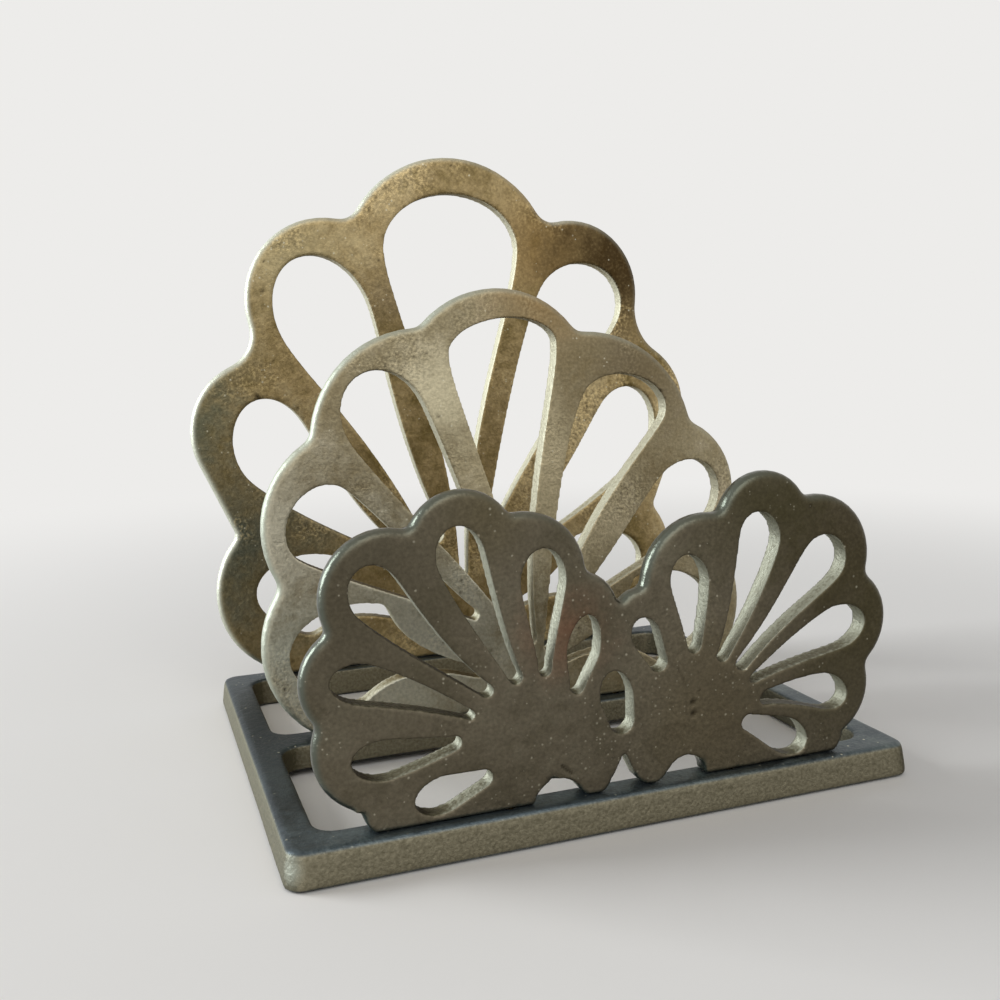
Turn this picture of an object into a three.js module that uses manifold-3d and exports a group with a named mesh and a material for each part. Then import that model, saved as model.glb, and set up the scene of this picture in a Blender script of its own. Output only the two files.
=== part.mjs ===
// Three-tier desk rack for letters and magazines, in cast brass.
// Three upright scallop-shell plates stand on the rails of one open base casting. Each plate is
// drawn down onto its rail by two countersunk screws that go in from underneath.
//
// Millimetres. +X to the right, +Y to the back, +Z up. The origin is at the middle of the base,
// on the surface that the rack stands on. Every plate is drawn as seen from the front, with x
// from the middle of the rack and z up from the top of the base.

import * as THREE from 'three';
import { mergeVertices } from 'three/addons/utils/BufferGeometryUtils.js';
import Module from 'manifold-3d';

const wasm = await Module();
wasm.setup();

// ---- base casting
const baseWidth = 152;
const baseDepth = 124;
const baseHeight = 8.2;
const baseCorner = 4;         // radius of the four upright corners
const baseLean = 1;           // how far the outer walls lean in from foot to top
const baseEdge = 1.2;         // rounding of the top and bottom edges
const sideRail = 8.4;
const frontRail = 9.4;
const middleBar = 9.9;
const rearRail = 9.3;
const frontBay = 48.4;        // front-to-back length of the opening behind the front rail
const bayCorner = 5;          // radius of the corners of both openings
const bayEdge = 0.8;          // rounding of the top edges of the openings
const barRelief = 1.4;        // the middle bar stops this far above the table

// ---- shell plates
const plateThickness = 4.8;
const plateEdge = 0.9;        // rounding of the outlines of the middle and rear plates
const frontEdge = 0.4;        // the front plate's outline is crisper
const frontHeight = 68.9;     // from the foot of each plate to the top of its highest lobe
const middleHeight = 111.9;
const rearHeight = 153.7;
const footTrim = 0.7;         // depth filed off the foot to seat it flat
const frontSetback = 3.7;     // from the front edge of each rail to the face of its plate
const middleSetback = 4.1;
const rearSetback = 2.7;
const slotEnd = 1.2;          // radius of the narrow end of a slot

// ---- screws, two to a plate
const screwSpread = 54;       // between the two screws of a plate
const screwDiameter = 2.2;
const screwHead = 4.4;        // diameter of the countersunk head
const screwLength = 14;
const screwRim = 0.3;         // straight rim of the head
const screwSink = 0.7;        // from the underside of the base up to the start of the cone
const screwSlot = 0.7;        // width and depth of the driver slot
const clearance = 0.3;        // round the screws

// ---- fineness of the curves
const chordError = 0.05;      // how far a chord may leave its curve
const edgeSteps = 2;          // facets across a rounded edge
const screwSides = 16;

const frontPlateY = -baseDepth / 2 + frontSetback;
const middleRailY = -baseDepth / 2 + frontRail + frontBay;
const middlePlateY = middleRailY + middleSetback;
const rearRailY = baseDepth / 2 - rearRail;
const rearPlateY = rearRailY + rearSetback;

// A lobe is a round of the outline: x and z of its centre and its radius r. The outline goes
// anticlockwise, and hollow is the radius of the hollow between a lobe and the next one. Where it
// is 0, the straight line or the arc that touches both joins them. Where there is an apex, two
// straight lines touch the lobes and meet in that point.
const footRound = (x, r, hollow) => ({ x, z: r - footTrim, r, hollow });
const frontLobes = [
  footRound(-54.0, 5.0, 0),
  footRound(-23.2, 1.6, 5.6),
  { x: -7.5, z: 4.3, r: 4.6, apex: [-0.4, 8.1] },
  { x: 6.5, z: 4.9, r: 5.0, hollow: 5.0 },
  footRound(21.7, 1.6, 0),
  footRound(52.8, 5.0, 1.6),
  { x: 52.1, z: 15.6, r: 13.1, hollow: 2.5 },
  { x: 56.4, z: 31.3, r: 13.2, hollow: 2.5 },
  { x: 49.2, z: 47.2, r: 15.0, hollow: 2.5 },
  { x: 35.3, z: 56.4, r: 12.0, hollow: 2.0 },
  { x: 20.2, z: 44.1, r: 15.8, hollow: 1.5 },
  { x: 4.0, z: 38.4, r: 6.1, hollow: 0.6 },
  { x: -10.7, z: 40.2, r: 9.4, hollow: 2.0 },
  { x: -23.2, z: 49.0, r: 14.3, hollow: 2.0 },
  { x: -36.4, z: 56.9, r: 12.0, hollow: 1.5 },
  { x: -52.2, z: 48.1, r: 14.0, hollow: 1.5 },
  { x: -58.5, z: 31.5, r: 12.2, hollow: 1.5 },
  { x: -54.7, z: 17.6, r: 14.1, hollow: 1.6 },
];
const middleLobes = [
  { x: 40.0, z: 22.7, r: 26.7, hollow: 4 },
  { x: 42.7, z: 55.0, r: 21.8, hollow: 4 },
  { x: 18.5, z: 67.8, r: 32.8, hollow: 4 },
  { x: -6.4, z: 84.5, r: 27.4, hollow: 4 },
  { x: -27.1, z: 73.2, r: 28.9, hollow: 4 },
  { x: -43.3, z: 52.8, r: 25.7, hollow: 4 },
  { x: -43.6, z: 22.7, r: 26.7, hollow: 0 },
];
const rearLobes = [
  { x: 49.7, z: 25.3, r: 26.1, hollow: 3 },
  { x: 66.5, z: 47.1, r: 4.0, hollow: 0 },
  { x: 58.0, z: 75.9, r: 22.4, hollow: 16 },
  { x: 39.5, z: 113.1, r: 23.1, hollow: 6 },
  { x: -0.6, z: 119.5, r: 34.2, hollow: 6 },
  { x: -38.8, z: 110.9, r: 24.4, hollow: 10 },
  { x: -59.1, z: 73.5, r: 21.3, hollow: 0 },
  { x: -66.5, z: 47.1, r: 4.0, hollow: 3 },
  { x: -49.7, z: 25.3, r: 26.1, hollow: 0 },
];

// A slot is a petal that points at the hub of its fan: x and z of the middle of its narrow end
// (root) and of its wide end (tip), its width there, and crown, the length of the rounded end
// beyond the tip. tail is the share of its length that stays narrow, and bow is how far its
// middle line bends to the left of the way from root to tip. end is the radius of the narrow end.
const frontSlots = [
  { root: [-11.6, 24.8], tip: [-10.2, 32.2], width: 7.5, crown: 8, tail: 0.1, bow: 0, end: 1.6 },
  { root: [-19.0, 29.3], tip: [-19.1, 48.5], width: 9.9, crown: 6.8, tail: 0.2, bow: 0, end: 1.3 },
  { root: [-25.6, 28.5], tip: [-37.1, 55.0], width: 10.1, crown: 6.4, tail: 0.2, bow: 0.5, end: 1.35 },
  { root: [-32.0, 26.4], tip: [-54.9, 48.9], width: 10.5, crown: 6.1, tail: 0.3, bow: 0.9, end: 1.25 },
  { root: [-35.7, 21.8], tip: [-58.5, 31.4], width: 8.1, crown: 6, tail: 0.05, bow: -0.6, end: 0.8 },
  { root: [-39.3, 16.3], tip: [-54.4, 15.0], width: 8.3, crown: 6.4, tail: 0.05, bow: 0.2, end: 1.4 },
  { root: [-33.1, 7.7], tip: [-42.0, 5.6], width: 7.7, crown: 6.1, tail: 0.05, bow: 0, end: 1.75 },
  { root: [-1.0, 15.5], tip: [-2.2, 21.0], width: 7.5, crown: 6, tail: 0.05, bow: 0, end: 2.8 },
  { root: [8.0, 27.6], tip: [4.9, 33.9], width: 6.5, crown: 4.2, tail: 0.05, bow: 0, end: 2 },
  { root: [17.0, 30.3], tip: [15.7, 45.0], width: 9.1, crown: 6, tail: 0.05, bow: -0.2, end: 1.6 },
  { root: [24.4, 27.3], tip: [33.6, 53.4], width: 10.6, crown: 5.6, tail: 0.1, bow: -0.9, end: 1.5 },
  { root: [29.5, 24.8], tip: [51.1, 46.7], width: 11.6, crown: 5.9, tail: 0.45, bow: 0, end: 1.6 },
  { root: [32.6, 20.8], tip: [55.5, 30.2], width: 10.4, crown: 7.4, tail: 0.05, bow: 0.6, end: 1 },
  { root: [36.2, 15.8], tip: [52.5, 15.0], width: 8.5, crown: 6, tail: 0.1, bow: 0.6, end: 1.65 },
  { root: [31.5, 10.4], tip: [41.6, 5.7], width: 8.2, crown: 6.2, tail: 0.05, bow: 0.1, end: 1.8 },
];
const middleSlots = [
  { root: [8.0, 11.0], tip: [37.8, 20.3], width: 26.4, crown: 19.6, tail: 0.9, bow: 0.5 },
  { root: [12.5, 24.5], tip: [48.2, 54.0], width: 19.7, crown: 11.5, tail: 0.3, bow: 0 },
  { root: [6.2, 16.0], tip: [29.5, 80.5], width: 24.6, crown: 8.5, tail: 0.4, bow: 3.8 },
  { root: [1.5, 18.4], tip: [-5.3, 96.4], width: 29.4, crown: 7.6, tail: 0.46, bow: 0.6 },
  { root: [-5.0, 25.8], tip: [-37.0, 79.4], width: 21.0, crown: 12.7, tail: 0.2, bow: 0, end: 1.5 },
  { root: [-14.7, 26.9], tip: [-54.0, 54.1], width: 20.6, crown: 8.3, tail: 0.08, bow: 0.1 },
  { root: [-13.7, 11.0], tip: [-43.7, 19.7], width: 26.4, crown: 19.6, tail: 0.9, bow: -0.5 },
];
const rearSlots = [
  { root: [15.0, 12.0], tip: [45.0, 23.0], width: 25, crown: 19, tail: 0.9, bow: 0.5 },
  { root: [16.5, 30.0], tip: [58.2, 70.4], width: 22.6, crown: 12, tail: 0.1, bow: -2 },
  { root: [8.3, 34.8], tip: [41.8, 109.4], width: 28.2, crown: 13.7, tail: 0.2, bow: 2 },
  { root: [0.8, 26.0], tip: [-0.6, 126.6], width: 42.2, crown: 16.1, tail: 0.46, bow: 0 },
  { root: [-8.6, 39.0], tip: [-40.5, 106.9], width: 27.7, crown: 17.9, tail: 0.5, bow: 0, end: 3.0 },
  { root: [-15.0, 30.4], tip: [-57.3, 69.0], width: 23.2, crown: 13.3, tail: 0.3, bow: 2.5 },
  { root: [-15.0, 12.0], tip: [-45.0, 23.0], width: 25, crown: 19, tail: 0.9, bow: -0.5 },
];

const castBrass = (color, roughness) => new THREE.MeshStandardMaterial({ color, roughness, metalness: 1 });
const baseMaterial = castBrass(0x6b6656, 0.5);
const frontMaterial = castBrass(0x6a6049, 0.45);
const middleMaterial = castBrass(0x8d8467, 0.45);
const rearMaterial = castBrass(0x9a8a5c, 0.42);
const screwMaterial = castBrass(0xb09a5e, 0.4);

const origin = new THREE.Vector2();

// ---- from three.js geometry to a closed solid and back

function solidOf(geometry) {
  const bare = geometry.index ? geometry.toNonIndexed() : geometry.clone();
  bare.deleteAttribute('normal');
  bare.deleteAttribute('uv');
  const merged = mergeVertices(bare, 1e-4);
  return new wasm.Manifold(new wasm.Mesh({
    numProp: 3,
    vertProperties: new Float32Array(merged.attributes.position.array),
    triVerts: new Uint32Array(merged.index.array),
  }));
}

function geometryOf(solid) {
  const { vertProperties, triVerts } = solid.getMesh();
  const geometry = new THREE.BufferGeometry();
  geometry.setAttribute('position', new THREE.BufferAttribute(new Float32Array(vertProperties), 3));
  geometry.setIndex(new THREE.BufferAttribute(new Uint32Array(triVerts), 1));
  const facets = geometry.toNonIndexed();
  facets.computeVertexNormals();
  return facets;
}

function block(width, depth, height, x, y, z) {
  return solidOf(new THREE.BoxGeometry(width, depth, height).translate(x, y, z));
}

// ---- outlines

// Points along a path, as far apart as its curves allow.
function pointsAlong(path) {
  const points = [];
  for (const curve of path.curves) {
    const bend = curve.isLineCurve ? Infinity : (curve.xRadius ?? curve.getLength());
    const chord = Math.sqrt(8 * bend * chordError);
    const steps = Math.max(curve.isLineCurve ? 1 : 3, Math.ceil(curve.getLength() / chord));
    points.push(...curve.getPoints(steps).slice(1));
  }
  return points.filter((point, i) => point.distanceTo(points.at(i - 1)) > chordError);
}

// The point where the straight line from apex touches a lobe, on its left (1) or its right (-1).
function touchFrom(apex, { x, z, r }, side) {
  const centre = new THREE.Vector2(x, z);
  const reach = apex.clone().sub(centre);
  const turn = side * Math.acos(r / reach.length());
  return reach.setLength(r).rotateAround(origin, turn).add(centre);
}

// The points where two lobes are left and met, and what lies between them if that isn't a line.
function joinLobes(from, to) {
  if (from.apex) {
    const apex = new THREE.Vector2(...from.apex);
    return { leave: touchFrom(apex, from, -1), meet: touchFrom(apex, to, 1), apex };
  }
  const a = new THREE.Vector2(from.x, from.z);
  const b = new THREE.Vector2(to.x, to.z);
  const span = a.distanceTo(b);
  const along = b.clone().sub(a).divideScalar(span);
  const outward = new THREE.Vector2(along.y, -along.x);
  if (from.hollow === 0) {
    const tilt = (from.r - to.r) / span;
    const normal = along.clone().multiplyScalar(tilt);
    normal.addScaledVector(outward, Math.sqrt(Math.max(0, 1 - tilt * tilt)));
    return {
      leave: a.addScaledVector(normal, from.r),
      meet: b.addScaledVector(normal, to.r),
    };
  }
  const reachA = from.r + from.hollow;
  const reachB = to.r + from.hollow;
  const shift = (span * span + reachA * reachA - reachB * reachB) / (2 * span);
  const centre = a.clone().addScaledVector(along, shift);
  centre.addScaledVector(outward, Math.sqrt(reachA * reachA - shift * shift));
  return {
    leave: a.lerp(centre, from.r / reachA),
    meet: b.lerp(centre, to.r / reachB),
    hollow: { centre, radius: from.hollow },
  };
}

function arc(path, centre, radius, start, end, clockwise) {
  const angle = (point) => Math.atan2(point.y - centre.y, point.x - centre.x);
  path.absarc(centre.x, centre.y, radius, angle(start), angle(end), clockwise);
}

function lobedOutline(lobes) {
  const joins = lobes.map((lobe, i) => joinLobes(lobe, lobes[(i + 1) % lobes.length]));
  const path = new THREE.Path();
  lobes.forEach((lobe, i) => {
    const before = joins[(i + lobes.length - 1) % lobes.length];
    const after = joins[i];
    arc(path, new THREE.Vector2(lobe.x, lobe.z), lobe.r, before.meet, after.leave, false);
    if (after.hollow) {
      arc(path, after.hollow.centre, after.hollow.radius, after.leave, after.meet, true);
    } else if (after.apex) {
      path.lineTo(after.apex.x, after.apex.y);
    }
    if (path.currentPoint.distanceTo(after.meet) > chordError) {
      path.lineTo(after.meet.x, after.meet.y);
    }
  });
  return new THREE.Shape(pointsAlong(path));
}

// The small round where the lowest lobe runs into the foot, at the left (-1) or the right (1).
function footCorner(lobe, side) {
  const r = 3 * footTrim;
  const reach = Math.sqrt(Math.max(0, (lobe.r - r) ** 2 - (lobe.z - r + footTrim) ** 2));
  return footRound(lobe.x + side * reach, r, 0);
}

function slotOutline({ root, tip, width, crown, tail, bow, end = slotEnd }) {
  const start = new THREE.Vector2(...root);
  const line = new THREE.Vector2(...tip).sub(start);
  const length = line.length();
  const straight = new THREE.Path();
  straight.moveTo(length, -width / 2);
  straight.absellipse(length, 0, crown, width / 2, -Math.PI / 2, Math.PI / 2, false);
  straight.bezierCurveTo(length * 0.85, width / 2, length * tail, end, 0, end);
  straight.absarc(0, 0, end, Math.PI / 2, -Math.PI / 2, false);
  straight.bezierCurveTo(length * tail, -end, length * 0.85, -width / 2, length, -width / 2);
  const bent = pointsAlong(straight).map(({ x, y }) => {
    const share = x / length;
    return new THREE.Vector2(x, y + 4 * bow * share * (1 - share)).rotateAround(origin, line.angle()).add(start);
  });
  return new THREE.Shape(bent);
}

function roundedRectangle(width, depth, radius, centreY = 0) {
  const x = width / 2 - radius;
  const y = depth / 2 - radius;
  const corners = [[-x, -y], [x, -y], [x, y], [-x, y]];
  const lobes = corners.map(([cx, cy]) => ({ x: cx, z: cy + centreY, r: radius, hollow: 0 }));
  return lobedOutline(lobes);
}

// ---- screws

// A screw or its hole, turned about Z, with its cone rim at z = 0. grow is the clearance all
// round and mouth is how far the rim is carried on downwards.
function screwBody(grow, mouth) {
  const head = screwHead / 2 + grow;
  const shank = screwDiameter / 2 + grow;
  const neck = (screwHead - screwDiameter) / 2;
  const end = screwLength + grow;
  const profile = [[0, -mouth], [head, -mouth], [head, 0], [shank, neck], [shank, end], [0, end]];
  const points = profile.map(([r, z]) => new THREE.Vector2(r, z));
  return new THREE.LatheGeometry(points, screwSides).rotateX(Math.PI / 2);
}

function screwPlaces({ y, underside }) {
  const centre = y + plateThickness / 2;
  return [-screwSpread / 2, screwSpread / 2].map((x) => [x, centre, underside + screwSink]);
}

function screwHoles(plate) {
  const hole = screwBody(clearance, 2 * screwSink);
  return screwPlaces(plate).map((place) => solidOf(hole.clone().translate(...place)));
}

function screwGeometry() {
  const slot = block(2 * screwHead, screwSlot, 2 * screwSlot, 0, 0, -screwRim);
  return geometryOf(solidOf(screwBody(0, screwRim)).subtract(slot));
}

// ---- castings

const drilled = (solid, holes) => holes.reduce((rest, hole) => rest.subtract(hole), solid);

// A slab that lies on z = 0, with its edges rounded. An edge of 0 leaves them square.
function slab(shape, thickness, edge) {
  return new THREE.ExtrudeGeometry(shape, {
    depth: thickness - 2 * edge,
    bevelEnabled: edge > 0,
    bevelThickness: edge,
    bevelSize: edge,
    bevelOffset: -edge,
    bevelSegments: edgeSteps,
    curveSegments: 1,
  }).translate(0, 0, edge);
}

// A plate is cast with rounded outer edges, and its slots go straight through it.
function plateGeometry({ lobes, slots, y, edge, height }, holes) {
  const drawnHeight = Math.max(...lobes.map(({ z, r }) => z + r));
  const upright = (shape, thickness, rounding) => solidOf(slab(shape, thickness, rounding)
    .translate(0, 0, -thickness / 2)
    .scale(1, height / drawnHeight, 1)
    .rotateX(Math.PI / 2)
    .translate(0, y + plateThickness / 2, baseHeight));
  const plate = upright(lobedOutline(lobes), plateThickness, edge);
  const cuts = slots.map((slot) => upright(slotOutline(slot), 2 * plateThickness, 0));
  const underFoot = block(2 * baseWidth, baseDepth, baseHeight, 0, y, baseHeight / 2);
  return geometryOf(drilled(plate, [...cuts, underFoot, ...holes]));
}

function baseGeometry(holes) {
  const outer = slab(roundedRectangle(baseWidth, baseDepth, baseCorner), baseHeight, baseEdge);
  const place = outer.attributes.position;
  for (let i = 0; i < place.count; i += 1) {
    const lean = 1 - (baseLean * place.getZ(i)) / baseHeight / (baseWidth / 2);
    place.setXY(i, place.getX(i) * lean, place.getY(i) * lean);
  }
  const rearBay = baseDepth - frontRail - frontBay - middleBar - rearRail;
  const bayWidth = baseWidth - 2 * sideRail;
  const frontBayY = -baseDepth / 2 + frontRail + frontBay / 2;
  const rearBayY = rearRailY - rearBay / 2;
  const openings = roundedRectangle(2 * baseWidth, 2 * baseDepth, bayCorner);
  openings.holes = [
    roundedRectangle(bayWidth, frontBay, bayCorner, frontBayY),
    roundedRectangle(bayWidth, rearBay, bayCorner, rearBayY),
  ];
  const grid = slab(openings, baseHeight, bayEdge);
  const relief = block(bayWidth, middleBar + 2 * bayCorner, 2 * barRelief, 0, middleRailY + middleBar / 2, 0);
  const frame = solidOf(outer).intersect(solidOf(grid)).subtract(relief);
  return geometryOf(drilled(frame, holes));
}

// ---- assembly

const withFoot = (lobes) => [
  footCorner(lobes[lobes.length - 1], -1),
  footCorner(lobes[0], 1),
  ...lobes,
];

const plates = [
  {
    name: 'front_shell',
    lobes: frontLobes,
    slots: frontSlots,
    y: frontPlateY,
    height: frontHeight,
    edge: frontEdge,
    underside: 0,
    material: frontMaterial,
  },
  {
    name: 'middle_shell',
    lobes: withFoot(middleLobes),
    slots: middleSlots,
    y: middlePlateY,
    height: middleHeight,
    edge: plateEdge,
    underside: barRelief,
    material: middleMaterial,
  },
  {
    name: 'rear_shell',
    lobes: withFoot(rearLobes),
    slots: rearSlots,
    y: rearPlateY,
    height: rearHeight,
    edge: plateEdge,
    underside: 0,
    material: rearMaterial,
  },
];

const rack = new THREE.Group();

function add(name, geometry, material, place = [0, 0, 0]) {
  const mesh = new THREE.Mesh(geometry, material);
  mesh.name = name;
  mesh.position.set(...place);
  rack.add(mesh);
}

add('base_casting', baseGeometry(plates.flatMap(screwHoles)), baseMaterial);
for (const plate of plates) {
  add(plate.name, plateGeometry(plate, screwHoles(plate)), plate.material);
  screwPlaces(plate).forEach((place, i) => {
    add(`${plate.name}_screw_${i + 1}`, screwGeometry(), screwMaterial, place);
  });
}

export default rack;
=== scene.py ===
"""Looks of a desk rack for magazines and letters: four sand-cast brass pieces held by six screws.

The castings are made from the solids of the frame. Each one is resampled evenly, its edges are worn
round, and its skin gets the slight waves, the grain and the pits of a sand casting. The flat faces have
been dressed and have darkened with age; the walls of the slots are as they left the sand, and paler,
with painted light on the side that faces the window lamp and painted shade on the other.
"""

import math

import bmesh
import bpy
import numpy as np
from mathutils import Matrix, Vector


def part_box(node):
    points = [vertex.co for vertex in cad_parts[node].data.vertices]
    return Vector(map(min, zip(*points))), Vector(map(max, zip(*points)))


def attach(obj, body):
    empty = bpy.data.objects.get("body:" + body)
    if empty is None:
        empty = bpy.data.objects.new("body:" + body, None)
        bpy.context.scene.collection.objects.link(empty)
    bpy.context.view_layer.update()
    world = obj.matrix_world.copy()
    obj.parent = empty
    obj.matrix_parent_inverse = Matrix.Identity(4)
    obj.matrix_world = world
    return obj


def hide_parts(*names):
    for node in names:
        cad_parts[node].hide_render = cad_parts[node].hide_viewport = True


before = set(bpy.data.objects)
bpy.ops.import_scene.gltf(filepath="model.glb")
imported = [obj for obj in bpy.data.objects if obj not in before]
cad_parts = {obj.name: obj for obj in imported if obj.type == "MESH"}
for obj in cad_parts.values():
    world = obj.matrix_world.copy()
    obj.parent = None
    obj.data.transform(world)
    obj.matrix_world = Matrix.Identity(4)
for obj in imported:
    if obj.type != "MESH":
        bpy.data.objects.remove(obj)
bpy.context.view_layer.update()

MM = 0.001
BODY = "root"
BASE, FRONT, MIDDLE, REAR = "base_casting", "front_shell", "middle_shell", "rear_shell"


# ---------------------------------------------------------------- helpers

def linear(colour):
    """An sRGB hex colour such as "8a7f5c" as linear red, green, blue and alpha."""
    parts = [int(colour[i:i + 2], 16) / 255 for i in (0, 2, 4)]
    return [c / 12.92 if c <= 0.04045 else ((c + 0.055) / 1.055) ** 2.4 for c in parts] + [1.0]


def add(tree, kind, settings=None, inputs=None, stops=None):
    """Adds a node with its settings. An input, by name or number, takes a value or another node's output.

    By number, a Map Range has the value at 0, what it runs from and to at 1 and 2, and what that becomes at
    3 and 4. A Mix has its share at 0, and two vectors at 4 and 5 or two colours at 6 and 7.
    """
    node = tree.nodes.new(kind)
    for name, value in (settings or {}).items():
        setattr(node, name, value)
    for key, value in (inputs or {}).items():
        if isinstance(value, bpy.types.Node):
            value = next(output for output in value.outputs if output.enabled)
        if isinstance(value, bpy.types.NodeSocket):
            tree.links.new(value, node.inputs[key])
        else:
            node.inputs[key].default_value = value
    if stops:
        ramp = node.color_ramp.elements
        while len(ramp) < len(stops):
            ramp.new(1.0)
        for element, (position, colour) in zip(ramp, stops):
            element.position = position
            element.color = colour
    return node


def plain_object(name, source):
    """A copy of a CAD node that can be worked on, with its loose triangles merged."""
    mesh = source.data.copy()
    mesh.name = name
    shape = bmesh.new()
    shape.from_mesh(mesh)
    bmesh.ops.remove_doubles(shape, verts=shape.verts, dist=0.001 * MM)
    shape.to_mesh(mesh)
    shape.free()
    mesh.materials.clear()
    piece = bpy.data.objects.new(name, mesh)
    bpy.context.scene.collection.objects.link(piece)
    return piece


def applied(piece):
    """The same object with its modifiers turned into a plain mesh."""
    bpy.context.view_layer.update()
    graph = bpy.context.evaluated_depsgraph_get()
    mesh = bpy.data.meshes.new_from_object(piece.evaluated_get(graph))
    old = piece.data
    piece.modifiers.clear()
    piece.data = mesh
    mesh.name = piece.name
    bpy.data.meshes.remove(old)
    return piece


# ---------------------------------------------------------------- camera, light and floor

EYE = Vector((-100.65, -253.8, 105.1)) * MM
YAW, PITCH, ROLL = 0.3531266, 0.1460226, -0.0190582  # radians
FILM_WIDTH, LENS = 36.0, 37.534                      # millimetres
NEAREST, FURTHEST = 0.01, 50.0

RACK_MIDDLE = Vector((0, 0, 0.06))
ROOM_LIGHT, ROOM_STRENGTH = "d5dbe2", 0.5

PALE, PAPER = "edecea", "f1ebe3"
FLOOR_HALF = 4.0
# Up to the first distance the floor shows its shadow, and past the second it is as pale as the background.
SHADOW_ENDS, PALE_STARTS = 0.14, 0.55


def add_camera():
    """A camera at the eye's place, turned by yaw, pitch and roll."""
    ahead = Vector((math.sin(YAW) * math.cos(PITCH), math.cos(YAW) * math.cos(PITCH), -math.sin(PITCH)))
    level = Vector((math.cos(YAW), -math.sin(YAW), 0))
    over = level.cross(ahead)
    right = math.cos(ROLL) * level + math.sin(ROLL) * over
    up = -math.sin(ROLL) * level + math.cos(ROLL) * over
    camera = bpy.data.objects.new("camera", bpy.data.cameras.new("camera"))
    camera.data.sensor_width = FILM_WIDTH
    camera.data.lens = LENS
    camera.data.clip_start = NEAREST
    camera.data.clip_end = FURTHEST
    turn = Matrix((right, up, -ahead)).transposed().to_4x4()
    camera.matrix_world = Matrix.Translation(EYE) @ turn
    bpy.context.scene.collection.objects.link(camera)
    bpy.context.scene.camera = camera


def add_lamp(name, place, width, height, power, colour):
    """A soft rectangular lamp that points at the middle of the rack."""
    data = bpy.data.lights.new(name, "AREA")
    data.shape = "RECTANGLE"
    data.size = width
    data.size_y = height
    data.energy = power
    data.color = linear(colour)[:3]
    lamp = bpy.data.objects.new(name, data)
    place = Vector(place)
    turn = (RACK_MIDDLE - place).to_track_quat("-Z", "Y").to_matrix().to_4x4()
    lamp.matrix_world = Matrix.Translation(place) @ turn
    bpy.context.scene.collection.objects.link(lamp)


def seen_directly(tree):
    """1 for rays that show the background itself, to the camera or in metal or glass."""
    path = add(tree, "ShaderNodeLightPath")
    eye = add(tree, "ShaderNodeMath", {"operation": "MAXIMUM"},
              {0: path.outputs["Is Camera Ray"], 1: path.outputs["Is Transmission Ray"]})
    return add(tree, "ShaderNodeMath", {"operation": "MAXIMUM"}, {0: eye, 1: path.outputs["Is Glossy Ray"]})


def add_world():
    """Soft light from all round, with a pale background behind the object."""
    world = bpy.data.worlds.new("studio")
    bpy.context.scene.world = world
    world.use_nodes = True
    tree = world.node_tree
    tree.nodes.clear()
    dim = add(tree, "ShaderNodeBackground", inputs={"Color": linear(ROOM_LIGHT), "Strength": ROOM_STRENGTH})
    pale = add(tree, "ShaderNodeBackground", inputs={"Color": linear(PALE), "Strength": 1.0})
    mixed = add(tree, "ShaderNodeMixShader", inputs={0: seen_directly(tree), 1: dim, 2: pale})
    add(tree, "ShaderNodeOutputWorld", inputs={"Surface": mixed})


def add_floor():
    """Matt pale paper that takes the object's shadow and runs out into the background."""
    mesh = bpy.data.meshes.new("floor")
    corners = [(x * FLOOR_HALF, y * FLOOR_HALF, 0) for x, y in ((-1, -1), (1, -1), (1, 1), (-1, 1))]
    mesh.from_pydata(corners, [], [(0, 1, 2, 3)])
    floor = bpy.data.objects.new("floor", mesh)
    bpy.context.scene.collection.objects.link(floor)
    material = bpy.data.materials.new("pale_paper")
    material.use_nodes = True
    tree = material.node_tree
    tree.nodes.clear()
    place = add(tree, "ShaderNodeTexCoord").outputs["Object"]
    away = add(tree, "ShaderNodeVectorMath", {"operation": "LENGTH"}, {0: place})
    far = add(tree, "ShaderNodeMapRange", {"interpolation_type": "SMOOTHSTEP"},
              {0: away.outputs["Value"], 1: SHADOW_ENDS, 2: PALE_STARTS, 3: 0.0, 4: 1.0})
    share = add(tree, "ShaderNodeMath", {"operation": "MULTIPLY"}, {0: far, 1: seen_directly(tree)})
    matt = add(tree, "ShaderNodeBsdfDiffuse", inputs={"Color": linear(PAPER)})
    glow = add(tree, "ShaderNodeEmission", inputs={"Color": linear(PALE), "Strength": 1.0})
    mixed = add(tree, "ShaderNodeMixShader", inputs={0: share, 1: matt, 2: glow})
    add(tree, "ShaderNodeOutputMaterial", inputs={"Surface": mixed})
    mesh.materials.append(material)


# ---------------------------------------------------------------- castings

# The walls are told apart by rays. A ray starts this far off a wall, in the middle of the plate's
# thickness. One that looks for the far side of a slot is longer than any plate is wide.
RAY_CLEARANCE, SLOT_RAY = 0.8 * MM, 200 * MM
# A screw hole is narrower than this, and lies this low in a foot.
HOLE_WIDTH, HOLE_TOP = 3 * MM, 12 * MM

# Between these heights above its seat, the small round of a foot grows into the worn round of the outline.
FOOT_ROUND_ENDS, EDGE_ROUND_STARTS = 0.5 * MM, 5 * MM
# The seat itself stays flat, and the relief of the skin grows between these heights above it.
SEAT_HEIGHT, SKIN_STARTS = 0.3 * MM, 1.2 * MM
# How far below a face the lip of a slot's wall is whole, and where it has ended.
LIP_HEIGHT, LIP_ENDS = 0.2 * MM, 1.8 * MM
COARSE_AREA = 24 * MM

# The skin that all four castings share. The grain that casting sand leaves is about 0.3 mm, which the
# mesh can't hold, so "Grain Size" is 1.2 mm on the plates and 1.3 mm on the base.
SKIN = {"Wave Size": 16 * MM, "Wave Depth": 0.2 * MM, "Pit Depth": 0.15 * MM}


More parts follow.
